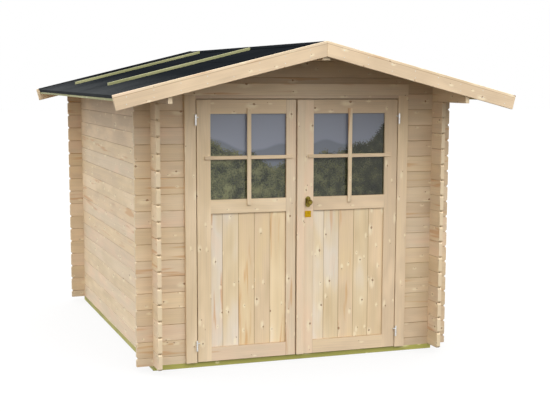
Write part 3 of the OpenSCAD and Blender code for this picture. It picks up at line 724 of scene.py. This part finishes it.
BOARD_W = 117 * MM
NARROWEST = 20 * MM                    # a strip left over that is narrower joins the last board
for side, pane in PANES:
    low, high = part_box(side + "_leaf_panel")
    bm = bmesh.new()
    edge = high.x
    upper = pane[1]
    number = 0
    while upper > pane[0]:
        lower = upper - BOARD_W if upper - BOARD_W > pane[0] + NARROWEST else pane[0] - GROOVE
        block(bm, (lower, low.y, low.z), (edge, high.y, high.z), 2 * MM, number)
        edge = upper = lower
        number += 1
    edges = [("Z", level) for level in PANEL_Z] + [("X", level) for level in pane]
    panelling = timber("spruce_panelling_" + side, PANELLING, "ZXY", pitch=BOARD_W, foot=pane[1],
                       first=800 if side == "left" else 821, joint=3.4 * MM, lines=edges, shade=1.02)
    made = piece(side + "_panel_boards", bm, side + "_door", panelling)
    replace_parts(made, side + "_leaf_panel")

BAR_T = 12 * MM
BAR_HALF = 15 * MM                     # half width of the upright bar
CROSS_T = 11 * MM                      # the bar across is thinner and narrower
CROSS_HALF = 13 * MM
BAR_ROUND = 4 * MM
BAR_LAP = 45 * MM                      # laps onto the frame at the sides and below,
BAR_LAP_TOP = 38 * MM                  # and above
bars = timber("spruce_glazing_bars", SPRUCE, "ZXY", first=850)
bars_across = timber("spruce_glazing_bars_across", SPRUCE, "XZY", first=860)
for side, pane in PANES:
    middle = sum(pane) / 2
    bm = bmesh.new()
    block(bm, (middle - BAR_HALF, FACE_Y - BAR_T, PANE_Z[0] - BAR_LAP),
          (middle + BAR_HALF, FACE_Y - SKIN, PANE_Z[1] + BAR_LAP_TOP), BAR_ROUND, 1, 4)
    piece(side + "_bar_upright", bm, side + "_door", bars)
    bm = bmesh.new()
    for a, b in ((pane[0] - BAR_LAP, middle - BAR_HALF - JUST),
                 (middle + BAR_HALF + JUST, pane[1] + BAR_LAP)):
        block(bm, (a, FACE_Y - CROSS_T, PANE_MIDDLE - CROSS_HALF),
              (b, FACE_Y - SKIN, PANE_MIDDLE + CROSS_HALF), BAR_ROUND, 2, 4)
    piece(side + "_bar_across", bm, side + "_door", bars_across)


# ---- lock, hinges, screws and beads ----

def turned(bm, profile, centre, axis, steps=32):
    """Turns a profile of radii and heights about an axis through a centre."""
    axis = Vector(axis)
    out = axis.orthogonal().normalized()
    points = [bm.verts.new(Vector(centre) + out * r + axis * h) for r, h in profile]
    lines = [bm.edges.new(pair) for pair in zip(points, points[1:])]
    bmesh.ops.spin(bm, geom=points + lines, cent=centre, axis=axis, angle=2 * math.pi, steps=steps,
                   use_merge=True)
    bmesh.ops.remove_doubles(bm, verts=bm.verts, dist=0.005 * MM)


def arc(radius, height, first, last, count):
    """Points of a circle's arc as radii and heights, the circle's centre at a height on the axis."""
    turns = [math.radians(first + (last - first) * i / count) for i in range(count + 1)]
    return [(radius * math.cos(t), height + radius * math.sin(t)) for t in turns]


# the knob: a ring at the plate, a waist and a ball, turned in one piece
low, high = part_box("door_knob")
KNOB_R = (high.x - low.x) / 2
KNOB = Vector(((low.x + high.x) / 2, high.y, (low.z + high.z) / 2))
ball = high.y - low.y - KNOB_R          # the ball's centre, from the plate
ring = [(0, 0), (7.6 * MM, 0), (7.6 * MM, 5 * MM), (11.5 * MM, 5.6 * MM), (12.5 * MM, 7 * MM),
        (12.5 * MM, 8.6 * MM), (11.2 * MM, 10 * MM), (7.6 * MM, 11.2 * MM), (6.6 * MM, 13.5 * MM),
        (6.6 * MM, 17 * MM), (7.4 * MM, 20.2 * MM)]
crown = [(r if r > 0.01 * MM else 0, h) for r, h in arc(KNOB_R, ball, -66, 90, 18)]
bm = bmesh.new()
turned(bm, ring + crown, KNOB, (0, -1, 0), 48)
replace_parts(piece("turned_knob", bm, "knob", BROWNED, smooth=True), "door_knob")

# domed tips close the hinge barrels above and below
HINGE_X = 766 * MM                     # a barrel's axis, to either side of the middle
HINGE_OUT = 12 * MM                    # and in front of the leaves' face
BARREL_R = 7 * MM
MOVING_H = 35.5 * MM                   # height of the half on the leaf, down to the knuckle gap
FIXED_H = 68 * MM                      # height of the half on the casing, with its pin
TIP_FLAT = 0.55                        # a tip's height over its radius
for side, sign in (("left", -1), ("right", 1)):
    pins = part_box("hinge_posts_" + side)
    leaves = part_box(side + "_leaf_hinges")
    tip = [(BARREL_R - JUST, -0.5 * MM), (BARREL_R, 0)] + arc(BARREL_R, 0, 0, 90, 6)[1:]
    tip = [(r if r > 0.01 * MM else 0, h * TIP_FLAT if h > 0 else h) for r, h in tip]
    for name, body, up, levels in (("top", side + "_door", 1, (leaves[1].z, leaves[0].z + MOVING_H)),
                                   ("bottom", "shed", -1, (pins[0].z, pins[1].z - FIXED_H))):
        bm = bmesh.new()
        for level in levels:
            turned(bm, tip, (sign * HINGE_X, FACE_Y - HINGE_OUT, level), (0, 0, up), 20)
        piece(side + "_hinge_tips_" + name, bm, body, ZINC, smooth=True)


def screw(bm, centre, axis, radius, steps=12):
    """A low domed screw head with a dimple for the driver."""
    profile = [(radius, -0.4 * MM), (radius, 0.15 * MM), (radius * 0.75, 0.75 * MM),
               (radius * 0.36, 0.95 * MM), (radius * 0.28, 0.2 * MM), (0, 0.1 * MM)]
    turned(bm, profile, centre, axis, steps)


low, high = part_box("knob_plate")
bm = bmesh.new()
for level in (low.z + 8 * MM, high.z - 8 * MM):
    screw(bm, (KNOB.x, low.y, level), (0, -1, 0), 2.8 * MM)
piece("knob_plate_screws", bm, "right_door", BROWNED)
low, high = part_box("key_plate")
bm = bmesh.new()
for level in (low.z + 6 * MM, high.z - 6 * MM):
    screw(bm, (KNOB.x, low.y, level), (0, -1, 0), 2.2 * MM)
piece("key_plate_screws", bm, "right_door", GOLDEN)

# the lock's cylinder fills the keyhole, with a narrow slot for the key
CYLINDER_R = 3.9 * MM
CYLINDER_OUT = 3.6 * MM                # how far it stands out of the leaf
STEM = (1.9 * MM, 2.6 * MM, 11.5 * MM)  # its stem below: half width, how far out, and how far down
KEY_SLOT = (0.5 * MM, 2.6 * MM)        # half width and half height
keyhole = Vector((KNOB.x, FACE_Y, (low.z + high.z) / 2 + 4 * MM))
bm = bmesh.new()
turned(bm, [(0, JUST), (CYLINDER_R, JUST), (CYLINDER_R, CYLINDER_OUT - 0.4 * MM),
            (CYLINDER_R - 0.4 * MM, CYLINDER_OUT), (0, CYLINDER_OUT)], keyhole, (0, -1, 0), 24)
block(bm, keyhole + Vector((-STEM[0], -STEM[1], -STEM[2])), keyhole + Vector((STEM[0], -JUST, -2 * MM)),
      0.3 * MM)
piece("lock_cylinder", bm, "right_door", GOLDEN)
# the key slot: a dull, nearly black brass sheet on the cylinder's face, a painted shadow in place of the
# slot's depth
SLOT_SHADOW = metal("dark_key_slot", "#4A4230", "#2E2A20", 0.6, 4 * MM, 0.02 * MM)
bm = bmesh.new()
block(bm, keyhole + Vector((-KEY_SLOT[0], -CYLINDER_OUT - JUST, -KEY_SLOT[1])),
      keyhole + Vector((KEY_SLOT[0], -CYLINDER_OUT + 0.4 * MM, KEY_SLOT[1])), 0)
piece("lock_key_slot", bm, "right_door", SLOT_SHADOW)

# beads hold each pane from inside
BEAD = 10 * MM
BEAD_ROUND = 3 * MM
bead_wood = timber("spruce_glazing_beads", SPRUCE, "ZXY", first=870)
bead_wood_across = timber("spruce_glazing_beads_across", SPRUCE, "XZY", first=880)
near, far = left_pane[1].y + JUST, left_pane[1].y + BEAD
foot, head = PANE_Z[0] + JUST, PANE_Z[1] - JUST
for side, pane in PANES:
    a, b = pane[0] + JUST, pane[1] - JUST
    bm = bmesh.new()
    block(bm, (a, near, foot), (a + BEAD, far, head), BEAD_ROUND, 1, 3)
    block(bm, (b - BEAD, near, foot), (b, far, head), BEAD_ROUND, 2, 3)
    piece(side + "_beads_upright", bm, side + "_door", bead_wood)
    bm = bmesh.new()
    a, b = a + BEAD + JUST, b - BEAD - JUST
    block(bm, (a, near, foot), (b, far, foot + BEAD), BEAD_ROUND, 3, 3)
    block(bm, (a, near, head - BEAD), (b, far, head), BEAD_ROUND, 4, 3)
    piece(side + "_beads_across", bm, side + "_door", bead_wood_across)

# screws hold the barge boards to the roof boards' ends, in two rows below their upper edge
BARGE_SCREWS = [120 * MM + i * 175 * MM for i in range(8)]
BARGE_ROWS = (32 * MM, 78 * MM)
bm = bmesh.new()
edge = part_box("barge_board_front_right")[1].z
for end_y, out in ((cad_low.y, -1), (cad_high.y, 1)):
    for side in (-1, 1):
        for x in BARGE_SCREWS:
            for drop in BARGE_ROWS:
                place = (side * x, end_y, edge - x * math.tan(SLOPE) - drop)
                screw(bm, place, (0, out, 0), 3 * MM, 10)
piece("barge_screws", bm, "shed", ZINC)

# and five go down through each batten
BATTEN_SCREWS = [160 * MM + i * 250 * MM for i in range(5)]
BATTEN_START = 110 * MM                # the battens' upper ends, from the ridge
BATTEN_W = 45 * MM
bm = bmesh.new()
for side, hand in ((-1, "left"), (1, "right")):
    low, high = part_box("felt_battens_" + hand)
    up = Vector((side * math.sin(SLOPE), 0, math.cos(SLOPE)))
    for row in (low.y + BATTEN_W / 2, high.y - BATTEN_W / 2):
        for x in BATTEN_SCREWS:
            level = high.z - (x - BATTEN_START) * math.tan(SLOPE)
            screw(bm, Vector((side * x, row, level)), up, 4 * MM, 10)
piece("batten_screws", bm, "shed", ZINC)


# ---- stage, lights and camera ----

FLOOR_HALF = 60
DOME_LOW, DOME_HIGH = 1.08, 2.5        # the sky's strength at the horizon and overhead
CAMERA_AT = (-2.8346, -8.8702, 2.0225)
CAMERA_TURN = (20.404, 8.249, 0.334)   # yaw, pitch and roll in degrees


def stage():
    """A wide pale floor that keeps the shed's soft shadow and meets a white background."""
    bm = bmesh.new()
    bmesh.ops.create_grid(bm, x_segments=1, y_segments=1, size=FLOOR_HALF)
    mesh = bpy.data.meshes.new("floor")
    bm.to_mesh(mesh)
    bm.free()
    made = bpy.data.objects.new("floor", mesh)
    made.location.z = -0.5 * MM
    bpy.context.scene.collection.objects.link(made)
    material, tree = new_material("white_paper_floor")
    output = add(tree, "OutputMaterial")
    path = add(tree, "LightPath")
    seen = add(tree, "Math", {0: path.outputs["Is Camera Ray"], 1: path.outputs["Is Glossy Ray"]},
               operation="MAXIMUM").outputs[0]
    seen = add(tree, "Math", {0: seen, 1: path.outputs["Is Transmission Ray"]},
               operation="MAXIMUM").outputs[0]
    matt = add(tree, "BsdfDiffuse", {0: (0.12, 0.12, 0.12, 1)})
    glow = add(tree, "Emission", {0: (1, 1, 1, 1), "Strength": 0.83})
    both = add(tree, "AddShader", {0: matt.outputs[0], 1: glow.outputs[0]})
    dull = add(tree, "BsdfDiffuse", {0: (0.05, 0.048, 0.045, 1)})
    mixed = add(tree, "MixShader", {0: seen, 1: dull.outputs[0], 2: both.outputs[0]})
    tree.links.new(mixed.outputs[0], output.inputs[0])
    mesh.materials.append(material)
    made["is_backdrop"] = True


def sky():
    """A plain white sky, a little brighter overhead, and white in the background and in reflections."""
    world = bpy.data.worlds.new("studio")
    bpy.context.scene.world = world
    world.use_nodes = True
    tree = world.node_tree
    tree.nodes.clear()
    path = add(tree, "LightPath")
    seen = add(tree, "Math", {0: path.outputs["Is Camera Ray"], 1: path.outputs["Is Glossy Ray"]},
               operation="MAXIMUM").outputs[0]
    seen = add(tree, "Math", {0: seen, 1: path.outputs["Is Transmission Ray"]},
               operation="MAXIMUM").outputs[0]
    up = add(tree, "SeparateXYZ", {0: add(tree, "TexCoord").outputs["Generated"]}).outputs[2]
    dome = add(tree, "MapRange", {"Value": up, "To Min": DOME_LOW, "To Max": DOME_HIGH}).outputs[0]
    strength = add(tree, "Mix", {0: seen, 2: dome, 3: 1.0}).outputs[0]
    light = add(tree, "Background", {0: (1, 1, 1, 1), 1: strength})
    output = tree.nodes.new("ShaderNodeOutputWorld")
    tree.links.new(light.outputs[0], output.inputs[0])


def key_light():
    """One broad soft lamp from the front right."""
    lamp = bpy.data.lights.new("key", "SUN")
    lamp.energy = 0.4
    lamp.angle = math.radians(50)
    made = bpy.data.objects.new("key", lamp)
    bpy.context.scene.collection.objects.link(made)
    made.rotation_euler = Vector((0.45, -0.8, 0.65)).to_track_quat("Z", "Y").to_euler()


def camera():
    """A long lens to the left of the doors, a little above the eaves."""
    data = bpy.data.cameras.new("camera")
    data.sensor_width = 36
    data.lens = 75.02
    data.shift_x = -0.0455
    data.shift_y = 0.0709
    data.clip_end = 200
    made = bpy.data.objects.new("camera", data)
    bpy.context.scene.collection.objects.link(made)
    yaw, pitch, roll = (math.radians(degrees) for degrees in CAMERA_TURN)
    turn = (Matrix.Rotation(-yaw, 4, "Z") @ Matrix.Rotation(math.pi / 2 - pitch, 4, "X")
            @ Matrix.Rotation(roll, 4, "Z"))
    made.matrix_world = Matrix.Translation(CAMERA_AT) @ turn
    bpy.context.scene.camera = made


stage()
sky()
key_light()
camera()
bpy.context.scene.view_settings.view_transform = "Standard"

low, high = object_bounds()
